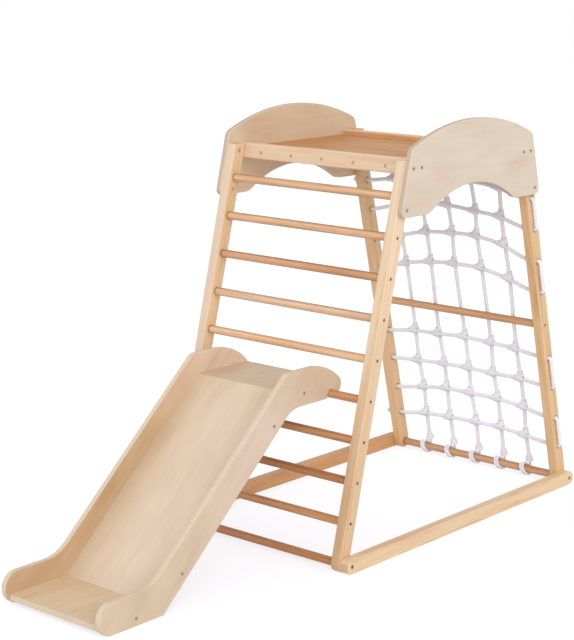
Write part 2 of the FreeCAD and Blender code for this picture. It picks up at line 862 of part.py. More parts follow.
def slide_side():
    tip_y = hook_tip - hook_tip_radius
    hump_centre = slide_hump - hump_back_radius
    inner_radius = hump_back_radius - hook_tip_radius
    tip_z = hump_centre + math.sqrt(inner_radius ** 2 - (tip_y - hump_back_start) ** 2)
    stretch = hump_back_radius / inner_radius
    tip_join_y = hump_back_start + (tip_y - hump_back_start) * stretch
    tip_join_z = hump_centre + (tip_z - hump_centre) * stretch
    half_turn = math.atan2(tip_join_y - hump_back_start, tip_join_z - hump_centre) / 2
    hump_middle = V(0, hump_back_start + hump_back_radius * math.sin(half_turn),
                    hump_centre + hump_back_radius * math.cos(half_turn))
    notch = rung_radius + hook_gap
    tail_z = tip_z - math.sqrt(hook_tip_radius ** 2 - (tip_y - notch) ** 2)
    hump_start = V(0, hump_back_start, slide_hump)
    tip_join = V(0, tip_join_y, tip_join_z)
    tip_end = V(0, hook_tip, tip_z)
    sweep = math.atan2(tip_join_z - tip_z, tip_join_y - tip_y) / 2
    tip_middle = V(0, tip_y + hook_tip_radius * math.cos(sweep), tip_z + hook_tip_radius * math.sin(sweep))
    tail = V(0, notch, tail_z)
    tail_turn = math.radians(hook_tail_deg)
    tail_middle = V(0, tip_y + hook_tip_radius * math.cos(tail_turn),
                    tip_z + hook_tip_radius * math.sin(tail_turn))
    notch_back = V(0, notch, hook_height)
    notch_top = V(0, 0, hook_height + notch)
    notch_front = V(0, -notch, hook_height)
    lip = V(0, -notch, slide_underside)
    edges = [
        arc(hump_start, hump_middle, tip_join),
        arc(tip_join, tip_middle, tip_end),
        arc(tip_end, tail_middle, tail),
        segment(tail, notch_back),
        arc(notch_back, notch_top, notch_front),
        segment(notch_front, lip),
    ]
    toe_radius = slide_toe_height / 2 - 0.01
    corners = [
        (-notch, slide_underside, 0),
        (incline_at(belly_line, slide_underside), slide_underside, throat_round),
        (incline_at(belly_line, 0), 0, 0),
        (slide_toe, 0, toe_radius),
        (slide_toe, slide_toe_height, toe_radius),
        (incline_at(wall_line, slide_toe_height), slide_toe_height, foot_blend_round),
        (incline_at(wall_line, slide_hump), slide_hump, hump_front_round),
        (hump_back_start, slide_hump, 0),
    ]
    closing = segment(hump_start, lip)
    for edge in rounded_outline(corners):
        same = (edge.CenterOfMass - closing.CenterOfMass).Length < 0.1
        if not same:
            edges.append(edge)
    side = outline_solid(edges, slide_inner, slide_half_width)
    top_chain = on_face_x([slide_inner, slide_half_width])

    def above_belly(edge):
        middle = edge.CenterOfMass
        belly = slide_deck + (middle.y - slide_deck_seam) * slide_slope
        return top_chain(edge) and middle.z > belly + 1 and middle.z > slide_toe_height / 2
    side = round_edges(side, wood_round, above_belly)
    side.translate(V(0, hook_y, 0))
    for y, z in slide_bolt_places():
        side = side.cut(slide_bolt_bore(y, z))
    return side


def slide_board(corners):
    edges = []
    for i in range(len(corners)):
        y_start, z_start = corners[i - 1]
        y_end, z_end = corners[i]
        edges.append(segment(V(0, y_start, z_start), V(0, y_end, z_end)))
    half = slide_inner - joint_gap
    board = outline_solid(edges, -half, half)
    board.translate(V(0, hook_y, 0))
    for y, z in slide_bolt_places():
        bore = slide_bolt_bore(y, z)
        nut = slide_nut_bore(y, z)
        board = board.cut(bore).cut(mirror_x(bore)).cut(nut).cut(mirror_x(nut))
    return board


deck_low = slide_deck - board_thickness
exit_low = slide_exit_top - board_thickness


def slide_boards():
    deck = [(deck_back_end, slide_deck), (slide_deck_seam, slide_deck),
            (slide_deck_seam + seam_shift, deck_low), (deck_back_end, deck_low)]
    incline = [(slide_deck_seam - joint_gap, slide_deck - joint_gap),
               (exit_seam + joint_gap, slide_exit_top + joint_gap),
               (exit_seam + seam_shift + joint_gap, exit_low + joint_gap),
               (slide_deck_seam + seam_shift - joint_gap, deck_low - joint_gap)]
    level = [(exit_seam, slide_exit_top), (exit_front_end, slide_exit_top),
             (exit_front_end, exit_low), (exit_seam + seam_shift, exit_low)]
    return slide_board(deck), slide_board(incline), slide_board(level)


slide_bolt_end = slide_half_width - slide_bolt_depth


def slide_bolt_places():
    # One bolt in the deck, two in the incline and one in the level run-out, all at mid-thickness
    half = board_thickness / 2
    places = [(hook_y + deck_bolt, slide_deck - half)]
    for run in incline_bolt_runs:
        y = exit_seam + run * math.cos(slide_tilt) + half * math.sin(slide_tilt)
        z = slide_exit_top + run * math.sin(slide_tilt) - half * math.cos(slide_tilt)
        places.append((hook_y + y, z))
    places.append((hook_y + exit_bolt, slide_exit_top - half))
    return places


def slide_bolt(y, z):
    return sunk_screw(slide_half_width, bolt_recess, bolt_head, bolt_head_height, bolt_shank,
                      slide_bolt_end, y, z)


def slide_bolt_bore(y, z):
    return sunk_bore(slide_half_width, bolt_recess, bolt_head, bolt_shank, slide_bolt_end, y, z)


slide_nut_x = slide_bolt_end + nut_from_bolt_end


def slide_nut(y, z):
    nut = rod(nut_radius, V(slide_nut_x, y, z - slide_nut_below), V(slide_nut_x, y, z + slide_nut_above))
    return nut.cut(rod_x(bolt_shank + slack, slide_nut_x - 2 * nut_radius, slide_half_width, y, z))


def slide_nut_bore(y, z):
    low = V(slide_nut_x, y, z - 2 * board_thickness)
    return rod(nut_radius + slack, low, V(slide_nut_x, y, z + slide_nut_above + slack))


# Ladders and base
front_stile = mirror_y(ladder_stile(rung_heights))
back_stile = net_stile([top_bar_height, mid_bar_height, foot_axis_height])
save("front_right_stile", front_stile)
save("front_left_stile", mirror_x(front_stile))
save("back_right_stile", back_stile)
save("back_left_stile", mirror_x(back_stile))

right_base_rail = base_rail()
save("right_base_rail", right_base_rail)
save("left_base_rail", mirror_x(right_base_rail))

for number, height in enumerate(rung_heights, start=1):
    save("rung_%02d" % number, bar(-back_y(height), height))
save("back_top_bar", bar(back_y(top_bar_height), top_bar_height))
save("back_mid_bar", bar(back_y(mid_bar_height), mid_bar_height))
save("back_bottom_bar", bar(back_y(foot_axis_height), foot_axis_height))

# Top of the frame
back_top_rail = top_rail()
save("back_top_rail", back_top_rail)
save("front_top_rail", mirror_y(back_top_rail))
save("seat_board", seat_board())
right_side_panel = side_panel()
save("right_side_panel", right_side_panel)
save("left_side_panel", mirror_x(right_side_panel))

# Net
for column in range(column_count):
    save("net_vertical_rope_" + str(column + 1), vertical_rope(column))
save("net_lacing_rope", lacing_rope())
print("least bend radius", round(min(bend_radii), 1), "largest", round(max(bend_radii)))
connectors = []
for row in range(len(row_heights)):
    for column in range(column_count):
        connectors.append(cross_connector(row, column))
save("net_cross_connectors", Part.makeCompound(connectors))
clamps = []
for column in range(column_count):
    clamps.append(bar_clamp(column, True))
    clamps.append(bar_clamp(column, False))
save("net_bar_clamps", Part.makeCompound(clamps))

# Fasteners of the frame
rung_screws = []
for height in rung_heights[:-1]:
    screw = rung_screw(-back_y(height), height)
    rung_screws.extend([screw, mirror_x(screw)])
for height in (top_bar_height, mid_bar_height):
    screw = rung_screw(back_y(height), height)
    rung_screws.extend([screw, mirror_x(screw)])
save("rung_screws", Part.makeCompound(rung_screws))
save("foot_bolts", Part.makeCompound(all_corners(foot_bolt(foot_half_span))))

panel_bolts = all_corners(panel_bolt(rail_bolt_y, panel_bolt_high, rail_bolt_end))
sleeve_nuts = []
for y, z in stile_bolts:
    panel_bolts.extend(all_corners(panel_bolt(y, z, stile_bolt_end)))
    sleeve_nuts.extend(all_corners(sleeve_nut(y, z)))
save("panel_bolts", Part.makeCompound(panel_bolts))
save("stile_sleeve_nuts", Part.makeCompound(sleeve_nuts))
save("rail_barrel_nuts", Part.makeCompound(all_corners(rail_nut(rail_bolt_y, panel_bolt_high))))

seat_screws = []
for x in seat_screw_places():
    screw = seat_screw(x)
    seat_screws.extend([screw, mirror_y(screw)])
save("seat_screws", Part.makeCompound(seat_screws))

# Slide
slide_right_panel = slide_side()
save("slide_right_panel", slide_right_panel)
save("slide_left_panel", mirror_x(slide_right_panel))
deck_board, incline_board, exit_board = slide_boards()
save("slide_deck_board", deck_board)
save("slide_incline_board", incline_board)
save("slide_exit_board", exit_board)
slide_bolts = []
slide_nuts = []
for y, z in slide_bolt_places():
    bolt = slide_bolt(y, z)
    nut = slide_nut(y, z)
    slide_bolts.extend([bolt, mirror_x(bolt)])
    slide_nuts.extend([nut, mirror_x(nut)])
save("slide_bolts", Part.makeCompound(slide_bolts))
save("slide_barrel_nuts", Part.makeCompound(slide_nuts))
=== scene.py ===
import bpy
import math
from mathutils import Matrix, Vector


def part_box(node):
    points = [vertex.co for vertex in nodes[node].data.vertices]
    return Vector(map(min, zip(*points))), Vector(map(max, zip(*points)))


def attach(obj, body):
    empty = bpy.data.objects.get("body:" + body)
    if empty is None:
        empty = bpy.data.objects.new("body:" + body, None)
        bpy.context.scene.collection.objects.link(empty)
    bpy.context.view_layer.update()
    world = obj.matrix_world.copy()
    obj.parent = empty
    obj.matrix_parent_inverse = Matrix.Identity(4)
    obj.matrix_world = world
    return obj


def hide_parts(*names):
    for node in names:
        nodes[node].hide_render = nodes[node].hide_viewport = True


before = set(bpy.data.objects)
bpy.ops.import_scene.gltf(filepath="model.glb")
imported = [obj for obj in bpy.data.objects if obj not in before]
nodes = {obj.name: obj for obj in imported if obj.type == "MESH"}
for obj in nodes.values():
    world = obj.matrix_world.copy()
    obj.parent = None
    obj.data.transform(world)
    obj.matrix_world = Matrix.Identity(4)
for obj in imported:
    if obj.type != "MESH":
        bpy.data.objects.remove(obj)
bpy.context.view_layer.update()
print("frame loaded,", len(nodes), "nodes")


# Shader sockets as values: arithmetic on a Wire adds Math nodes

def feed(tree, socket, value):
    if isinstance(value, Wire):
        tree.links.new(value.socket, socket)
    else:
        socket.default_value = value


class Wire:
    def __init__(self, tree, socket):
        self.tree = tree
        self.socket = socket

    def math(self, operation, first, second=0.0):
        made = self.tree.nodes.new("ShaderNodeMath")
        made.operation = operation
        feed(self.tree, made.inputs[0], first)
        feed(self.tree, made.inputs[1], second)
        return Wire(self.tree, made.outputs[0])

    def __add__(self, other):
        return self.math("ADD", self, other)

    def __radd__(self, other):
        return self.math("ADD", other, self)

    def __sub__(self, other):
        return self.math("SUBTRACT", self, other)

    def __rsub__(self, other):
        return self.math("SUBTRACT", other, self)

    def __mul__(self, other):
        return self.math("MULTIPLY", self, other)

    def __rmul__(self, other):
        return self.math("MULTIPLY", other, self)

    def __truediv__(self, other):
        return self.math("DIVIDE", self, other)

    def __rtruediv__(self, other):
        return self.math("DIVIDE", other, self)

    def __pow__(self, other):
        return self.math("POWER", self, other)

    def __rpow__(self, other):
        return self.math("POWER", other, self)

    def __abs__(self):
        return self.math("ABSOLUTE", self)

    def fraction(self):
        return self.math("FRACT", self)

    def root(self):
        return self.math("SQRT", self)

    def largest(self, other):
        return self.math("MAXIMUM", self, other)

    def limited(self):
        return self.math("MINIMUM", self.largest(0.0), 1.0)


bumpStrength = 0.6


class Paint:
    # The nodes of one material or world
    def __init__(self, owner):
        owner.use_nodes = True
        self.owner = owner
        self.tree = owner.node_tree
        self.tree.nodes.clear()

    def node(self, kind, settings=None, values=None, output=0):
        made = self.tree.nodes.new(kind)
        for key, value in (settings or {}).items():
            if key == "stops":
                setStops(made.color_ramp, value)
            else:
                setattr(made, key, value)
        for key, value in (values or {}).items():
            feed(self.tree, made.inputs[key], value)
        return Wire(self.tree, made.outputs[output]) if len(made.outputs) else None

    def pack(self, x, y, z):
        return self.node("ShaderNodeCombineXYZ", values={0: x, 1: y, 2: z})

    def split(self, vector):
        return [self.node("ShaderNodeSeparateXYZ", values={0: vector}, output=k) for k in range(3)]

    def noise(self, vector, scale=1.0, detail=2.0, roughness=0.5):
        return self.node("ShaderNodeTexNoise", values={
            "Vector": vector, "Scale": scale, "Detail": detail, "Roughness": roughness})

    def step(self, value, low, high):
        # 0 below low and 1 above high, with a soft rise between
        return self.node("ShaderNodeMapRange", {"interpolation_type": "SMOOTHSTEP"},
                         {"Value": value, "From Min": low, "From Max": high})

    def mix(self, amount, first, second, blend="MIX"):
        # Sockets 6 and 7 of a Mix node are its two colours, output 2 is the mixed one
        return self.node("ShaderNodeMix", {"data_type": "RGBA", "blend_type": blend},
                         {0: amount, 6: first, 7: second}, 2)

    def ramp(self, value, stops):
        return self.node("ShaderNodeValToRGB", {"stops": stops}, {0: value})

    def finish(self, color, roughness, height, depth, constants):
        normal = self.node("ShaderNodeBump", output="Normal", values={
            "Strength": bumpStrength, "Distance": depth, "Height": height})
        values = {"Base Color": color, "Roughness": roughness, "Normal": normal, **constants}
        self.surface(self.node("ShaderNodeBsdfPrincipled", values=values))
        return self.owner

    def surface(self, shader):
        self.node("ShaderNodeOutputMaterial", values={"Surface": shader})


def newPaint(name):
    return Paint(bpy.data.materials.new(name))


def setStops(ramp, stops):
    while len(ramp.elements) < len(stops):
        ramp.elements.new(1.0)
    for element, (place, color) in zip(ramp.elements, stops):
        element.position = place
        element.color = color


def tone(red, green, blue):
    # A colour as seen on a screen, 0 to 255, to the linear value that the shaders use
    linear = []
    for part in (red, green, blue):
        share = part / 255
        linear.append(share / 12.92 if share <= 0.04045 else ((share + 0.055) / 1.055) ** 2.4)
    return (*linear, 1.0)


def shades(look):
    return [(0.0, tone(*look["light"])), (0.5, tone(*look["middle"])), (1.0, tone(*look["dark"]))]


# Board coordinates: along the grain, across the board, through its thickness, and a chance for each piece

leanAngle = math.radians(13.9)
slideAngle = math.radians(41.6)
# Left pieces keep their inner look, darkened by painted shade, except on faces turned left, which take the
# plain outer look
outwardFace = (0.4, 0.8)  # how squarely a face has to look left to take the outer tint


def boardAxes(paint, turn, order):
    place = paint.node("ShaderNodeTexCoord", output="Object")
    facing = paint.node("ShaderNodeTexCoord", output="Normal")
    about = {"rotation_type": "X_AXIS"}
    spot = paint.split(paint.node("ShaderNodeVectorRotate", about, {"Vector": place, "Angle": turn}))
    lean = paint.split(paint.node("ShaderNodeVectorRotate", about, {"Vector": facing, "Angle": turn}))
    chance = paint.node("ShaderNodeObjectInfo", output="Random")
    along, across, through = [spot["xyz".index(letter)] for letter in order]
    faces = [abs(lean["xyz".index(letter)]) for letter in order]
    outward = paint.step(0.0 - lean[0], *outwardFace)
    return along, across, through, faces, outward, chance


# Sawn wood: lengths and widths are figures per metre along and across the grain
# A pair is where a soft step starts and ends, and looks give colours from 0 to 255

solidWood = {
    "warp": {"length": 1.1, "width": 9.0, "detail": 3.0, "roughness": 0.5},
    "band": {"length": 3.6, "width": 130.0, "detail": 3.0, "roughness": 0.5},
    "fibre": {"length": 12.0, "width": 380.0, "detail": 3.0, "roughness": 0.6},
    "patch": {"length": 5.0, "width": 30.0, "detail": 2.0, "roughness": 0.5},
    "pieceShift": 17.0, "heartDrift": 0.23, "heartSlant": 0.4, "warpAmount": 0.016,
    "ringEdge": 2.6, "ringPatch": (0.3, 0.75), "litFacing": (0.45, 0.85),
    "roundEdge": (0.72, 0.985), "wornPatch": (0.35, 0.7), "endFacing": (0.75, 0.95), "endAmount": 0.45,
    "roughness": 0.46, "fibreRoughness": 0.22, "ringRoughness": 0.06, "wornRoughness": 0.1,
    "fibreHeight": 0.55, "ringHeight": 0.45, "relief": 0.00018, "coatRoughness": 0.3,
}


def solidWoodPaint(name, look, turn, order):
    # Broken growth rings about a distant heart, bands and fibres along the grain, worn round edges, and
    # painted shade on the faces turned from the lit direction
    paint = newPaint(name)
    along, across, through, faces, outward, chance = boardAxes(paint, turn, order)
    shift = chance * solidWood["pieceShift"]
    drift = chance * solidWood["heartDrift"]

    def grain(kind):
        figure = solidWood[kind]
        width = figure["width"]
        field = paint.pack(along * figure["length"] + shift, across * width, through * width)
        return paint.noise(field, detail=figure["detail"], roughness=figure["roughness"])

    band = grain("band")
    fibre = grain("fibre")
    side = across - look["heartAcross"] + drift
    deep = through - look["heartThrough"] - drift * solidWood["heartSlant"] + along * look["taper"]
    radius = (side * side + deep * deep).root() + (grain("warp") - 0.5) * solidWood["warpAmount"]
    ring = (radius / look["ringSpacing"]).fraction() ** solidWood["ringEdge"]
    ring = ring * paint.step(grain("patch"), *solidWood["ringPatch"])
    depth = ring * look["ringAmount"] + (band - 0.5) * look["bandAmount"]
    depth = depth + (fibre - 0.5) * look["fibreAmount"] + look["base"]
    depth = (depth + (chance - 0.5) * look["pieceAmount"]).limited()
    color = paint.ramp(depth, shades(look))
    # Painted shade: faces turned from the lit direction are multiplied by the shade colour
    paintedShadeMask = 1.0 - paint.step(faces[look["litFace"]], *solidWood["litFacing"])
    color = paint.mix(paintedShadeMask * look["shadeAmount"], color, tone(*look["shade"]), "MULTIPLY")
    # Darker towards the foot, most on the faces that take the painted shade
    if "foot" in look:
        low = 1.0 - paint.step(along, look["footFrom"], look["footTo"])
        footDarkening = low * (paintedShadeMask * look["footAmount"] + look["footSides"])
        color = paint.mix(footDarkening.limited(), color, tone(*look["foot"]), "MULTIPLY")
    # Faces turned left take the plain outer look; the others keep this look's painted shade
    if "outer" in look:
        color = paint.mix(outward, color, paint.ramp(depth, shades(look["outer"])))
    # Darker ring where each rung enters a stile: the joint line with painted contact shadow
    if "jointLineAndShade" in look:
        jointLineAndShade = paint.step(abs(along), look["jointFrom"], look["jointTo"]) * look["jointAmount"]
        color = paint.mix(jointLineAndShade, color, tone(*look["jointLineAndShade"]), "MULTIPLY")
    square = faces[0].largest(faces[1]).largest(faces[2])
    worn = (1.0 - paint.step(square, *solidWood["roundEdge"])) * paint.step(band, *solidWood["wornPatch"])
    worn = worn * look["wear"]
    color = paint.mix(worn, color, tone(*look["worn"]))
    endGrain = paint.step(faces[0], *solidWood["endFacing"])
    color = paint.mix(endGrain * solidWood["endAmount"], color, tone(*look["dark"]))
    roughness = (fibre - 0.5) * solidWood["fibreRoughness"] + ring * solidWood["ringRoughness"]
    roughness = roughness + solidWood["roughness"] + worn * solidWood["wornRoughness"]
    height = fibre * solidWood["fibreHeight"] + ring * solidWood["ringHeight"]
    return paint.finish(color, roughness, height, solidWood["relief"], {
        "Coat Weight": look["coat"], "Coat Roughness": solidWood["coatRoughness"],
        "Specular IOR Level": look["specular"]})


# Faces along the lit direction (1 across the board, 2 through it) take no painted shade; the others are
# multiplied by the shade colour, painted shade for less light on them
pine = {
    "light": (244, 219, 190), "middle": (235, 203, 166), "dark": (206, 160, 114), "worn": (245, 224, 198),
    "shade": (184, 194, 204), "shadeAmount": 0.22, "litFace": 1, "wear": 0.4, "coat": 0.12, "specular": 0.4,
    "ringSpacing": 0.0068, "ringAmount": 0.5, "bandAmount": 1.2, "fibreAmount": 0.6, "pieceAmount": 0.1,
    "base": 0.26, "heartAcross": 0.33, "heartThrough": -0.05, "taper": 0.006,
}
pineFooted = dict(pine, foot=(224, 197, 161), footAmount=0.2, footSides=0.46, footFrom=0.1, footTo=1.0)
# Left stile: the front is plain, the sides take a warmer painted shade, and the side turned left goes back to
# plain pine
pineInner = dict(pine, light=(224, 201, 179), middle=(215, 188, 160), dark=(190, 150, 114), litFace=2,
                 shade=(268, 255, 230), shadeAmount=1.0, outer=pine)
# Base rails: the tops take a little painted shade
pineBase = dict(pine, light=(238, 210, 175), middle=(228, 194, 152), dark=(199, 150, 100),
                shade=(222, 200, 178), shadeAmount=0.15, ringAmount=0.65)
# Front rail: the top is lit and the front face takes painted shade
pineRail = dict(pine, light=(237, 206, 175), middle=(228, 191, 153), dark=(199, 149, 103), litFace=2,
                shade=(240, 241, 244), shadeAmount=1.0)
pineDeep = dict(pine, light=(236, 200, 156), middle=(219, 176, 128), dark=(184, 132, 86), ringAmount=0.6,
                bandAmount=1.0, shadeAmount=0.05)
# Left base rail: a golden tone deepened by painted shade on its inner faces; the face turned left takes plain
# base-rail pine
pineGoldenInnerShade = dict(pineDeep, light=(224, 171, 116), middle=(208, 152, 100), dark=(168, 110, 62),
                  shadeAmount=0.25, ringAmount=0.75, outer=pineBase)
# Rungs: tops and undersides take painted shade, front and back stay lit
dowelWood = {
    "light": (234, 193, 154), "middle": (215, 169, 130), "dark": (171, 120, 82), "worn": (228, 184, 140),
    "shade": (214, 210, 202), "shadeAmount": 0.85, "litFace": 1, "wear": 0.0, "coat": 0.1, "specular": 0.35,
    # Joint line with painted contact shadow where each rung enters a stile
    "jointLineAndShade": (168, 128, 96), "jointFrom": 0.313, "jointTo": 0.324, "jointAmount": 0.6,
    "ringSpacing": 0.0062, "ringAmount": 0.6, "bandAmount": 1.25, "fibreAmount": 0.7, "pieceAmount": 0.3,
    "base": 0.24, "heartAcross": 0.05, "heartThrough": 0.04, "taper": 0.012,
}
dowelCream = dict(dowelWood, light=(234, 200, 167), middle=(216, 176, 142), dark=(173, 127, 92))
dowelWarm = dict(dowelWood, light=(218, 170, 129), middle=(200, 149, 109), dark=(158, 105, 67))
dowelDeep = dict(dowelWood, light=(215, 160, 112), middle=(195, 137, 92), dark=(150, 95, 56), shadeAmount=0.5)
dowelDark = dict(dowelDeep, light=(198, 143, 95), middle=(177, 119, 75), dark=(134, 79, 41), shadeAmount=0.2)
seatWood = dict(dowelWood, light=(210, 154, 102), middle=(187, 130, 80), dark=(142, 87, 47), shadeAmount=0.0,
                ringSpacing=0.011, ringAmount=0.75, bandAmount=0.9, fibreAmount=0.5, heartThrough=1.23,
                jointAmount=0.0, wear=0.3, coat=0.0, specular=0.12)


# Plywood: lengths and widths are figures per metre along and across the face grain

plywood = {
    "flame": {"length": 1.3, "width": 8.0, "detail": 2.0, "roughness": 0.5},
    "cloud": {"length": 5.0, "width": 13.0, "detail": 4.0, "roughness": 0.5},
    "fleck": {"length": 42.0, "width": 700.0, "detail": 2.0, "roughness": 0.6},
    "streak": {"length": 4.0, "width": 150.0, "detail": 3.0, "roughness": 0.6},
    "line": {"length": 1.6, "width": 75.0, "detail": 2.0, "roughness": 0.5},
    "thickness": 0.018, "layers": 4.5, "pieceShift": 13.0, "flames": 7.0, "veneerChange": 60.0,
    "lineEdge": (0.62, 0.7), "edgeFacing": (0.35, 0.75), "glueWidth": (0.02, 0.09), "glueAmount": 0.4,
    "crossLayer": (0.2, 0.3), "crossAmount": 0.5, "rimCloudFrom": 0.3, "rimCloudAmount": 0.3,
    "roughness": 0.5, "streakRoughness": 0.2, "edgeRoughness": 0.12,
    "fleckHeight": 0.5, "streakHeight": 0.5, "glueHeight": 0.6, "relief": 0.00012,
    "coat": 0.1, "coatRoughness": 0.3, "specular": 0.4,
}


def plywoodPaint(name, look, turn, order, middle):
    # Peeled veneer with soft clouds and flame figure on the faces, glued layers on the edges
    paint = newPaint(name)
    along, across, through, faces, outward, chance = boardAxes(paint, turn, order)
    shift = chance * plywood["pieceShift"]
    veneer = through * plywood["veneerChange"]

    def grain(kind, depth):
        figure = plywood[kind]
        field = paint.pack(along * figure["length"] + shift, across * figure["width"], depth)
        return paint.noise(field, detail=figure["detail"], roughness=figure["roughness"])

    flame = (grain("flame", shift) * plywood["flames"]).fraction()
    flame = abs(flame - 0.5) * 2.0
    cloud = grain("cloud", shift)
    fleck = grain("fleck", veneer)
    streak = grain("streak", veneer)
    line = paint.step(grain("line", shift), *plywood["lineEdge"])
    depth = flame * look["flameAmount"] + (cloud - 0.5) * look["cloudAmount"] + line * look["lineAmount"]
    depth = depth + (fleck - 0.5) * look["fleckAmount"] + (streak - 0.5) * look["streakAmount"]
    depth = (depth + look["base"]).limited()
    face = paint.ramp(depth, shades(look))
    # A multiply that changes along or across the board: painted shade by the slide's left wall and on the
    # left panels' inner faces, a plain darkening on the right slide panel
    if "zones" in look:
        place = along if look["zoneAxis"] == "along" else across
        share = (place - look["zoneFrom"]) / (look["zoneTo"] - look["zoneFrom"])
        face = paint.mix(1.0, face, paint.ramp(share.limited(), look["zones"]), "MULTIPLY")
    # Faces turned left take the plain outer look; the others keep this look's painted shade
    if "outer" in look:
        face = paint.mix(outward, face, paint.ramp(depth, shades(look["outer"])))
    layer = (abs(through - middle) if look["mirrored"] else through - middle) / plywood["thickness"]
    layer = (layer * plywood["layers"] + 0.5).fraction()
    fromGlue = abs(layer - 0.5)
    glue = 1.0 - paint.step(fromGlue, *plywood["glueWidth"])
    crossLayer = paint.step(fromGlue, *plywood["crossLayer"])
    rimDark = tone(*look["rimDark"])
    rim = paint.mix(crossLayer * plywood["crossAmount"], tone(*look["rim"]), rimDark)
    rim = paint.mix(glue * plywood["glueAmount"], rim, tone(*look["glue"]))
    rim = paint.mix((cloud - plywood["rimCloudFrom"]) * plywood["rimCloudAmount"], rim, rimDark)
    onEdge = 1.0 - paint.step(faces[2], *plywood["edgeFacing"])
    color = paint.mix(onEdge, face, rim)
    roughness = (streak - 0.5) * plywood["streakRoughness"] + plywood["roughness"]
    roughness = roughness + onEdge * plywood["edgeRoughness"]
    height = fleck * plywood["fleckHeight"] + streak * plywood["streakHeight"]
    height = height - onEdge * glue * plywood["glueHeight"]
    return paint.finish(color, roughness, height, plywood["relief"], {
        "Coat Weight": plywood["coat"], "Coat Roughness": plywood["coatRoughness"],
        "Specular IOR Level": plywood["specular"]})


birch = {
    "light": (228, 213, 196), "middle": (219, 201, 180), "dark": (200, 176, 148), "rim": (203, 184, 164),
    "rimDark": (178, 154, 128), "glue": (140, 114, 92), "flameAmount": 0.12, "cloudAmount": 0.95,
    "fleckAmount": 0.3, "streakAmount": 0.18, "lineAmount": 0.08, "base": 0.32, "mirrored": True,
}
# Left panel's inner face: birch darkened and warmed by painted shade, a little darker again above the seat;
# its outer face takes plain birch
birchInnerShade = dict(birch, light=(243, 219, 192), middle=(230, 204, 173), dark=(202, 170, 134), outer=birch,
                streakAmount=0.3, lineAmount=0.2, zoneAxis="across", zoneFrom=1.1, zoneTo=1.3,
                zones=[(0.3, tone(255, 255, 255)), (0.44, tone(236, 236, 236))])
slideBirch = dict(birch, light=(231, 211, 192), middle=(221, 198, 176), dark=(200, 172, 143),
                  rim=(226, 208, 186), rimDark=(202, 177, 148), streakAmount=0.28)
# Left slide panel's inner face: a darker, warmer painted shade of the slide birch
slideBirchInnerShade = dict(slideBirch, light=(236, 214, 193), middle=(221, 193, 167), dark=(190, 157, 125))
inclineBirch = dict(slideBirch, light=(225, 206, 186), middle=(216, 193, 169), dark=(194, 167, 138),
                    mirrored=False)
# Painted shade on the incline, darker beside the left wall
inclineWallShade = dict(inclineBirch, zoneAxis="across", zoneFrom=-0.19, zoneTo=0.19,
                     zones=[(0.0, tone(243, 239, 228)), (0.4, tone(255, 255, 255))])
deckBirch = dict(inclineBirch, light=(221, 197, 171), middle=(210, 184, 157), dark=(184, 155, 126),
                 lineAmount=0.2)
exitBirch = dict(inclineBirch, light=(231, 207, 173), middle=(218, 189, 154), dark=(188, 154, 116),
                 lineAmount=0.35, rim=(226, 207, 183), glue=(120, 98, 80))


ropeFibre = {
    # groove: the painted shade between the strands
    "light": (248, 247, 252), "grooveShade": (206, 204, 217), "lightAt": 0.75,
    "yarn": {"scale": 1400.0, "detail": 3.0}, "soil": {"scale": 14.0, "detail": 3.0},
    "strandAmount": 0.7, "yarnAmount": 0.35, "soilAmount": 0.25, "darken": 0.1,
    "roughness": 0.85, "yarnRoughness": 0.2, "yarnHeight": 0.6, "strandHeight": 0.4, "relief": 0.0004,
    "sheen": 0.15,
}


def ropePaint():
    # Braided white cord: painted shade in the grooves between the strands, with fine yarns
    paint = newPaint("braidedRope")
    place = paint.node("ShaderNodeTexCoord", output="Object")
    strand = paint.node("ShaderNodeAttribute", {"attribute_name": "strandHeight"}, output="Fac")
    yarn = paint.noise(place, **ropeFibre["yarn"])
    soil = paint.noise(place, **ropeFibre["soil"])
    depth = strand * ropeFibre["strandAmount"] + yarn * ropeFibre["yarnAmount"]
    depth = (depth + soil * ropeFibre["soilAmount"] - ropeFibre["darken"]).limited()
    # Painted shade in the grooves between the strands, lighter on the raised strands
    color = paint.ramp(depth, [(0.0, tone(*ropeFibre["grooveShade"])),
                               (ropeFibre["lightAt"], tone(*ropeFibre["light"]))])
    roughness = ropeFibre["roughness"] + (yarn - 0.5) * ropeFibre["yarnRoughness"]
    height = yarn * ropeFibre["yarnHeight"] + strand * ropeFibre["strandHeight"]
    return paint.finish(color, roughness, height, ropeFibre["relief"], {"Sheen Weight": ropeFibre["sheen"]})


netPlastic = {
    "light": (239, 237, 244), "dark": (219, 216, 227), "lightAt": 0.3, "darkAt": 0.75,
    "peel": {"scale": 900.0}, "marks": {"scale": 60.0, "detail": 5.0, "roughness": 0.7},
    "roughness": 0.42, "marksRoughness": 0.3, "marksHeight": 0.4, "relief": 0.00015, "specular": 0.45,
}


def plasticPaint():
    # Moulded white plastic with a faint orange-peel skin and handling marks
    paint = newPaint("mouldedPlastic")
    place = paint.node("ShaderNodeTexCoord", output="Object")
    peel = paint.noise(place, **netPlastic["peel"])
    marks = paint.noise(place, **netPlastic["marks"])
    color = paint.ramp(marks, [(netPlastic["lightAt"], tone(*netPlastic["light"])),
                               (netPlastic["darkAt"], tone(*netPlastic["dark"]))])
    roughness = netPlastic["roughness"] + (marks - 0.5) * netPlastic["marksRoughness"]
    height = peel + marks * netPlastic["marksHeight"]
    return paint.finish(color, roughness, height, netPlastic["relief"],
                        {"Specular IOR Level": netPlastic["specular"]})


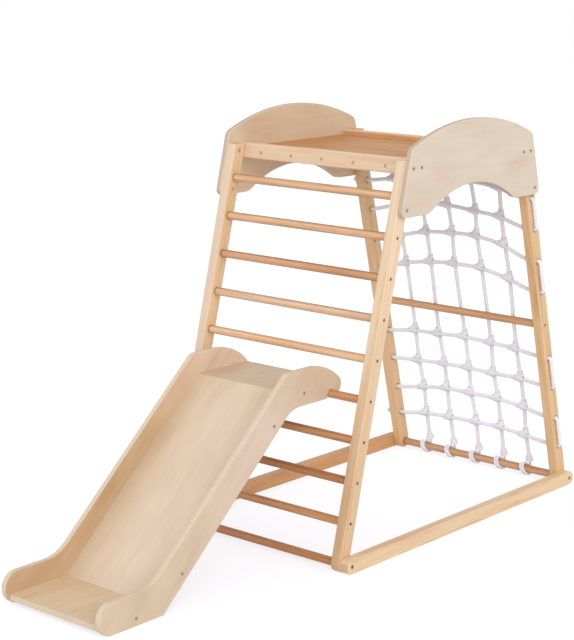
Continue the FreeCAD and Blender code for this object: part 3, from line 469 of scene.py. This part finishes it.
zinc = {
    "light": (222, 203, 176), "dark": (166, 147, 122), "darkAt": 0.3, "lightAt": 0.7,
    # socket: the painted shade in the hex sockets
    "socket": (66, 54, 44), "socketShadeDepth": (0.0004, 0.0011),
    "blotch": {"scale": 420.0, "detail": 4.0}, "fine": {"scale": 2600.0},
    "roughness": 0.48, "blotchRoughness": 0.3, "blotchHeight": 0.5, "relief": 0.0001, "metal": 0.55,
}
blackened = dict(zinc, light=(132, 106, 80), dark=(86, 66, 48), socket=(46, 36, 28), metal=0.5)


def steelPaint(name, look, headFace):
    # Dull plated steel with blotchy plating, and painted shade in the sockets that lie deeper than the heads'
    # faces
    paint = newPaint(name)
    place = paint.node("ShaderNodeTexCoord", output="Object")
    blotch = paint.noise(place, **look["blotch"])
    fine = paint.noise(place, **look["fine"])
    color = paint.ramp(blotch, [(look["darkAt"], tone(*look["dark"])),
                                (look["lightAt"], tone(*look["light"]))])
    # Painted shade in the sockets, below the head's face
    sunk = headFace - abs(paint.split(place)[0])
    color = paint.mix(paint.step(sunk, *look["socketShadeDepth"]), color, tone(*look["socket"]))
    roughness = look["roughness"] + (blotch - 0.5) * look["blotchRoughness"]
    height = fine + blotch * look["blotchHeight"]
    return paint.finish(color, roughness, height, look["relief"], {"Metallic": look["metal"]})


# Which finish each piece of the frame takes

def dress(names, material):
    for name in names:
        data = nodes[name].data
        data.materials.clear()
        data.materials.append(material)


def rungs(*numbers):
    return ["rung_%02d" % number for number in numbers]


def middleOf(name, axis):
    low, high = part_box(name)
    return (low[axis] + high[axis]) / 2


solidWoodPieces = [
    ("pineRightStile", pineFooted, leanAngle, "zxy", ["front_right_stile"]),
    ("pineLeftStile", pineInner, leanAngle, "zxy", ["front_left_stile"]),
    ("pineBackStile", pineDeep, -leanAngle, "zxy", ["back_right_stile", "back_left_stile"]),
    ("pineBaseRail", pineBase, 0.0, "yxz", ["right_base_rail"]),
    ("pineBaseRailGoldenInnerShade", pineGoldenInnerShade, 0.0, "yxz", ["left_base_rail"]),
    ("pineFrontRail", pineRail, leanAngle, "xyz", ["front_top_rail"]),
    ("pineBackRail", pineDeep, -leanAngle, "xyz", ["back_top_rail"]),
    ("dowelPale", dowelWood, 0.0, "xyz", rungs(1, 2, 5)),
    ("dowelCream", dowelCream, 0.0, "xyz", rungs(4)),
    ("dowelWarm", dowelWarm, 0.0, "xyz", rungs(3) + ["back_top_bar", "back_mid_bar", "back_bottom_bar"]),
    ("dowelDeep", dowelDeep, 0.0, "xyz", rungs(6, 7, 9)),
    ("dowelDark", dowelDark, 0.0, "xyz", rungs(8, 10)),
    ("seatWood", seatWood, 0.0, "xyz", ["seat_board"]),
]
for name, look, turn, order, pieces in solidWoodPieces:
    dress(pieces, solidWoodPaint(name, look, turn, order))

panelMiddle = middleOf("right_side_panel", 0)
wallMiddle = middleOf("slide_right_panel", 0)
wallLow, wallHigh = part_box("slide_right_panel")
deckLow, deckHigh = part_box("slide_deck_board")


def alongSlide(y, z):
    return y * math.cos(slideAngle) + z * math.sin(slideAngle)


def aboveSlide(y, z):
    # Height over the origin, square to the slope
    return z * math.cos(slideAngle) - y * math.sin(slideAngle)


# The tops of the deck and the incline meet at the deck's front edge
inclineMiddle = aboveSlide(deckLow.y, deckHigh.z) - plywood["thickness"] / 2

# The slide's right panel is a little darker towards the toe and over the hump; the left panel's inner face
# takes painted shade, darker towards the toe
wallZones = {"zoneAxis": "along", "zoneFrom": alongSlide(wallLow.y, 0.0),
             "zoneTo": alongSlide(wallHigh.y, deckHigh.z)}
rightWall = dict(slideBirch, **wallZones, zones=[
    (0.1, tone(248, 246, 237)), (0.43, tone(250, 248, 242)), (0.6, tone(255, 255, 255)),
    (0.74, tone(255, 255, 255)), (0.85, tone(248, 246, 241)), (0.93, tone(245, 240, 231))])
leftWall = dict(slideBirchInnerShade, **wallZones, outer=slideBirch,
                zones=[(0.62, tone(230, 221, 201)), (0.9, tone(255, 255, 255))])

plywoodPieces = [
    ("birchPanel", birch, 0.0, "yzx", panelMiddle, "right_side_panel"),
    ("birchPanelInnerShade", birchInnerShade, 0.0, "yzx", panelMiddle, "left_side_panel"),
    ("birchSlide", rightWall, -slideAngle, "yzx", wallMiddle, "slide_right_panel"),
    ("birchSlideInnerShade", leftWall, -slideAngle, "yzx", wallMiddle, "slide_left_panel"),
    ("birchIncline", inclineWallShade, -slideAngle, "yxz", inclineMiddle, "slide_incline_board"),
    ("birchDeck", deckBirch, 0.0, "yxz", middleOf("slide_deck_board", 2), "slide_deck_board"),
    ("birchExit", exitBirch, 0.0, "yxz", middleOf("slide_exit_board", 2), "slide_exit_board"),
]
for name, look, turn, order, middle, piece in plywoodPieces:
    dress([piece], plywoodPaint(name, look, turn, order, middle))

dress(["net_cross_connectors", "net_bar_clamps"], plasticPaint())
for look, groups in ((blackened, ["rung_screws", "foot_bolts"]), (zinc, ["panel_bolts", "slide_bolts"])):
    for name in groups:
        dress([name], steelPaint(name + "Steel", look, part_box(name)[1].x))
dress(["stile_sleeve_nuts", "rail_barrel_nuts", "seat_screws", "slide_barrel_nuts"],
      steelPaint("platedSteel", zinc, 0.0))
print("finishes on", len(bpy.data.materials), "materials")


# Net of rope: five uprights lashed to the bars, one lacing rope to and fro through the back stiles

net = {
    "ropeRadius": 0.007, "lashingRadius": 0.0045, "topBar": 1.138, "bottomBar": 0.023,
    "footHalfSpan": 0.602, "footHeight": 0.023, "innerHalfWidth": 0.325, "columns": 5, "columnPitch": 0.109,
    "rows": [1.027, 0.922, 0.811, 0.703, 0.466, 0.359, 0.244, 0.141],
    "rises": [0.034, 0.045, 0.060, 0.056, 0.020, 0.010, 0.030, 0.021],
    "skews": [0.6, 0.0, 0.33, 0.1, 0.0, 0.0, 0.0, 0.0],
    "wanderX": 0.005, "wanderXTurns": (2.3, 1.9), "wanderZ": 0.003, "wanderZTurns": (1.7, 2.6),
    "uprightOut": 0.0204, "windOut": 0.0179, "rowOut": 0.0060, "ropeStart": 0.0305, "lashingBite": 0.005,
    "windTurns": 1.75, "windPitch": 0.0098, "windTilt": 0.008, "windSteps": 12, "tail": 0.009,
    "mouthX": 0.309, "stretchX": 0.3668, "bendGuide": 0.024, "knotX": 0.3734, "splineSteps": 16,
}
midY = middleOf("right_base_rail", 1)
upBack = Vector((0, -math.sin(leanAngle), math.cos(leanAngle)))
outBack = Vector((0, math.cos(leanAngle), math.sin(leanAngle)))
columnPlaces = [(i - (net["columns"] - 1) / 2) * net["columnPitch"] for i in range(net["columns"])]


def netPoint(x, height, out):
    y = net["footHalfSpan"] - math.tan(leanAngle) * (height - net["footHeight"])
    return Vector((x, midY + y, height)) + outBack * out


def crossing(row, column, out):
    # The rows arch, a few lean to one side, and each crossing wanders a little
    rowX, columnX = net["wanderXTurns"]
    rowZ, columnZ = net["wanderZTurns"]
    x = columnPlaces[column] + net["wanderX"] * math.sin(rowX * row + columnX * column)
    share = x / net["innerHalfWidth"]
    arch = net["rises"][row] * (1 - share ** 2) * (1 + net["skews"][row] * share)
    height = net["rows"][row] + arch + net["wanderZ"] * math.cos(rowZ * row + columnZ * column)
    return netPoint(x, height, out)


def winding(x, barHeight, rise, lead):
    # Control points of a lashing, from the collar round the bar
    # rise is 1 where it goes over the top bar and -1 where it goes under the bottom one
    axis = netPoint(x, barHeight, 0)
    step = 2 * math.pi / net["windSteps"]
    reach = net["windOut"] / math.cos(step / 2)
    points = [lead, axis + outBack * net["windOut"] - upBack * (rise * net["windOut"] * math.tan(step / 2))]
    count = round(net["windTurns"] * net["windSteps"])
    for i in range(count):
        turn = (i + 0.5) * step
        slip = net["windPitch"] * turn / (2 * math.pi) + net["windTilt"] * rise * math.sin(turn)
        radial = outBack * math.cos(turn) + upBack * (rise * math.sin(turn))
        points.append(axis + radial * reach - Vector((slip, 0, 0)))
    turn = count * step
    around = outBack * -math.sin(turn) + upBack * (rise * math.cos(turn))
    radial = outBack * math.cos(turn) + upBack * (rise * math.sin(turn))
    slip = net["windPitch"] * net["windTurns"] + net["windTilt"] * rise * math.sin(turn)
    points.append(axis + radial * net["windOut"] - Vector((slip, 0, 0)) + around * net["tail"])
    return points


def uprightRoutes(column):
    # The rope from collar to collar, then the lashings at its top and bottom ends
    x = columnPlaces[column]
    rope = [crossing(row, column, net["uprightOut"]) for row in range(len(net["rows"]))]
    ends = []
    lashings = []
    for bar, rise, nearest in ((net["topBar"], 1, rope[0]), (net["bottomBar"], -1, rope[-1])):
        start = netPoint(x, bar, net["windOut"])
        way = (nearest - start).normalized()
        ends.append(start + way * net["ropeStart"])
        lashings.append(winding(x, bar, rise, start + way * (net["ropeStart"] + net["lashingBite"])))
    return [ends[0]] + rope + [ends[1]], lashings


def lacingRoute():
    # Along each row, out through the stile, down its outside and in again at the next row
    points = [netPoint(-net["knotX"], net["rows"][0], 0)]
    guide = net["bendGuide"]
    for row, height in enumerate(net["rows"]):
        side = -1 if row % 2 == 0 else 1
        order = range(net["columns"])
        points.append(netPoint(side * net["mouthX"], height, 0))
        for column in order if side < 0 else reversed(order):
            points.append(crossing(row, column, net["rowOut"]))
        points.append(netPoint(-side * net["mouthX"], height, 0))
        if row + 1 < len(net["rows"]):
            below = net["rows"][row + 1]
            outside = -side * net["stretchX"]
            inside = outside + side * guide
            stretch = [(inside, height), (outside, height), (outside, height - guide),
                       (outside, below + guide), (outside, below), (inside, below)]
            points += [netPoint(x, z, 0) for x, z in stretch]
    points.append(netPoint(-net["knotX"], net["rows"][-1], 0))
    return points


def smoothLine(name, points):
    # Points along a NURBS spline with the route's points as its control points
    curve = bpy.data.curves.new(name, "CURVE")
    curve.dimensions = "3D"
    spline = curve.splines.new("NURBS")
    spline.points.add(len(points) - 1)
    for control, place in zip(spline.points, points):
        control.co = (*place, 1.0)
    spline.order_u = 3
    spline.use_endpoint_u = True
    spline.resolution_u = net["splineSteps"]
    holder = bpy.data.objects.new(name, curve)
    mesh = bpy.data.meshes.new_from_object(holder)
    line = [vertex.co.copy() for vertex in mesh.vertices]
    bpy.data.meshes.remove(mesh)
    bpy.data.objects.remove(holder)
    bpy.data.curves.remove(curve)
    return line


def lineLength(line):
    return sum((b - a).length for a, b in zip(line, line[1:]))


def evenly(line, spacing):
    # The same line with stations at an even spacing
    stations = [line[0]]
    left = spacing
    for start, end in zip(line, line[1:]):
        length = (end - start).length
        done = 0.0
        while length - done >= left:
            done += left
            stations.append(start.lerp(end, done / length))
            left = spacing
        left -= length - done
    return stations


braid = {"spacing": 0.0015, "sides": 16, "strands": 4, "pitch": 0.0125, "relief": 0.07, "endFlat": 0.05}


def braidedTube(name, line, radius):
    # Tube whose radius rises over each strand of a plain braid, with domed ends
    stations = evenly(line, braid["spacing"])
    last = len(stations) - 1
    sides = braid["sides"]
    tangents = [(stations[min(i + 1, last)] - stations[max(i - 1, 0)]).normalized() for i in range(last + 1)]
    across = tangents[0].orthogonal().normalized()
    verts = []
    heights = []
    for i, (place, way) in enumerate(zip(stations, tangents)):
        across = (across - way * across.dot(way)).normalized()
        other = way.cross(across)
        phase = 2 * math.pi * i * braid["spacing"] / braid["pitch"]
        fromEnd = min(i, last - i) * braid["spacing"] / radius
        dome = math.sqrt(max(braid["endFlat"], 1 - (1 - min(fromEnd, 1)) ** 2))
        for k in range(sides):
            angle = 2 * math.pi * k / sides
            raised = 0.5 + 0.5 * math.cos(braid["strands"] * angle) * math.cos(phase)
            reach = radius * dome * (1 - braid["relief"] + braid["relief"] * raised)
            verts.append(place + (across * math.cos(angle) + other * math.sin(angle)) * reach)
            heights.append(raised)
    faces = []
    for i in range(last):
        low = i * sides
        for k in range(sides):
            ahead = (k + 1) % sides
            faces.append((low + k, low + ahead, low + sides + ahead, low + sides + k))
    faces.append(tuple(reversed(range(sides))))
    faces.append(tuple(range(len(verts) - sides, len(verts))))
    mesh = bpy.data.meshes.new(name)
    mesh.from_pydata(verts, [], faces)
    mesh.attributes.new("strandHeight", "FLOAT", "POINT").data.foreach_set("value", heights)
    for polygon in mesh.polygons:
        polygon.use_smooth = len(polygon.vertices) == 4
    return mesh


knot = {"size": 0.0034, "steps": 60, "thickness": 1.1}


def knotLine(centre, side):
    # Stopper knot: a closed overhand, lying against the stile
    points = []
    for i in range(knot["steps"] + 1):
        t = 2 * math.pi * i / knot["steps"]
        x = math.sin(3 * t) * -knot["thickness"]
        y = math.sin(t) + 2 * math.sin(2 * t)
        z = math.cos(t) - 2 * math.cos(2 * t)
        points.append(centre + Vector((side * x, y, z)) * knot["size"])
    return points


def addObject(name, data):
    made = bpy.data.objects.new(name, data)
    bpy.context.collection.objects.link(made)
    return made


ropeMaterial = ropePaint()


def placeRope(name, line, radius, node):
    piece = addObject(name, braidedTube(name, line, radius))
    piece.data.materials.append(ropeMaterial)
    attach(piece, "frame")
    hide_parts(node)


def makeUpright(column):
    number = str(column + 1)
    node = "net_vertical_rope_" + number
    rope, lashings = uprightRoutes(column)
    line = smoothLine("uprightRoute" + number, rope)
    placeRope("net_upright_" + number, line, net["ropeRadius"], node)
    for word, route in zip(("upper", "lower"), lashings):
        name = "net_lashing_" + word + "_" + number
        placeRope(name, smoothLine(name, route), net["lashingRadius"], node)
    return lineLength(line)


def makeLacing():
    line = smoothLine("lacingRoute", lacingRoute())
    placeRope("net_lacing", line, net["ropeRadius"], "net_lacing_rope")
    for row, word in ((0, "upper"), (-1, "lower")):
        centre = netPoint(-net["knotX"], net["rows"][row], 0)
        placeRope("net_knot_" + word, knotLine(centre, -1), net["lashingRadius"], "net_lacing_rope")
    return lineLength(line)


uprightLengths = [makeUpright(column) for column in range(net["columns"])]
lacingLength = makeLacing()
print("ropes: upright", round(uprightLengths[-1], 3), "m, lacing", round(lacingLength, 3), "m")


# Camera at the photograph's place

view = {
    "place": (3.5484, -4.1421, 1.8536), "yaw": 0.7128, "pitch": -0.2099, "roll": 0.0033,
    "focalPixels": 1786.6, "imageHeight": 640, "sensor": 36.0,
}


def makeCamera():
    data = bpy.data.cameras.new("camera")
    data.sensor_width = view["sensor"]
    data.lens = view["focalPixels"] * view["sensor"] / view["imageHeight"]
    camera = addObject("camera", data)
    turn = Matrix.Rotation(view["yaw"], 4, "Z") @ Matrix.Rotation(math.pi / 2 + view["pitch"], 4, "X")
    turn = turn @ Matrix.Rotation(view["roll"], 4, "Z")
    camera.matrix_world = Matrix.Translation(view["place"]) @ turn
    bpy.context.scene.camera = camera


makeCamera()
print("camera placed")


# White floor and world, soft lamps

studio = {
    "white": (1.0, 1.0, 1.0, 1.0), "worldLight": 0.68, "floorSize": 40.0,
    "floorBase": (0.42, 0.42, 0.42, 1.0), "floorGlow": (0.685, 0.69, 0.72, 1.0),
    "floorBounce": (0.78, 0.78, 0.79, 1.0),
    "lamps": {
        "key": {"towards": (0.72, -0.52, 0.37), "power": 1.42, "spread": 60.0},
        "fill": {"towards": (-0.30, -0.88, 0.26), "power": 0.62, "spread": 70.0},
    },
}


def seenDirectly(paint):
    # 1 for what the camera sees, also in a mirror or through glass
    path = ["Is Camera Ray", "Is Glossy Ray", "Is Transmission Ray"]
    rays = [paint.node("ShaderNodeLightPath", output=name) for name in path]
    return (rays[0] + rays[1] + rays[2]).limited()


def makeFloor():
    size = studio["floorSize"] / 2
    corners = [(-size, -size, 0), (size, -size, 0), (size, size, 0), (-size, size, 0)]
    mesh = bpy.data.meshes.new("floor")
    mesh.from_pydata(corners, [], [(0, 1, 2, 3)])
    floor = addObject("floor", mesh)
    paint = newPaint("paleFloor")
    seen = seenDirectly(paint)
    shown = paint.node("ShaderNodeBsdfDiffuse", values={"Color": studio["floorBase"]})
    glow = paint.node("ShaderNodeEmission", values={"Color": studio["floorGlow"], "Strength": 1.0})
    bounce = paint.node("ShaderNodeBsdfDiffuse", values={"Color": studio["floorBounce"]})
    both = paint.node("ShaderNodeAddShader", values={0: shown, 1: glow})
    paint.surface(paint.node("ShaderNodeMixShader", values={0: seen, 1: bounce, 2: both}))
    mesh.materials.append(paint.owner)


def makeWorld():
    world = bpy.data.worlds.new("studioWorld")
    bpy.context.scene.world = world
    paint = Paint(world)
    seen = seenDirectly(paint)
    light = {"Color": studio["white"], "Strength": studio["worldLight"]}
    dim = paint.node("ShaderNodeBackground", values=light)
    white = paint.node("ShaderNodeBackground", values={"Color": studio["white"], "Strength": 1.0})
    shader = paint.node("ShaderNodeMixShader", values={0: seen, 1: dim, 2: white})
    paint.node("ShaderNodeOutputWorld", values={"Surface": shader})


def makeLamps():
    for name, lamp in studio["lamps"].items():
        data = bpy.data.lights.new(name, "SUN")
        data.energy = lamp["power"]
        data.angle = math.radians(lamp["spread"])
        light = addObject(name, data)
        light.rotation_euler = Vector(lamp["towards"]).to_track_quat("Z", "Y").to_euler()


makeFloor()
makeWorld()
makeLamps()
bpy.context.scene.view_settings.view_transform = "Standard"
print("floor, world and lamps ready")
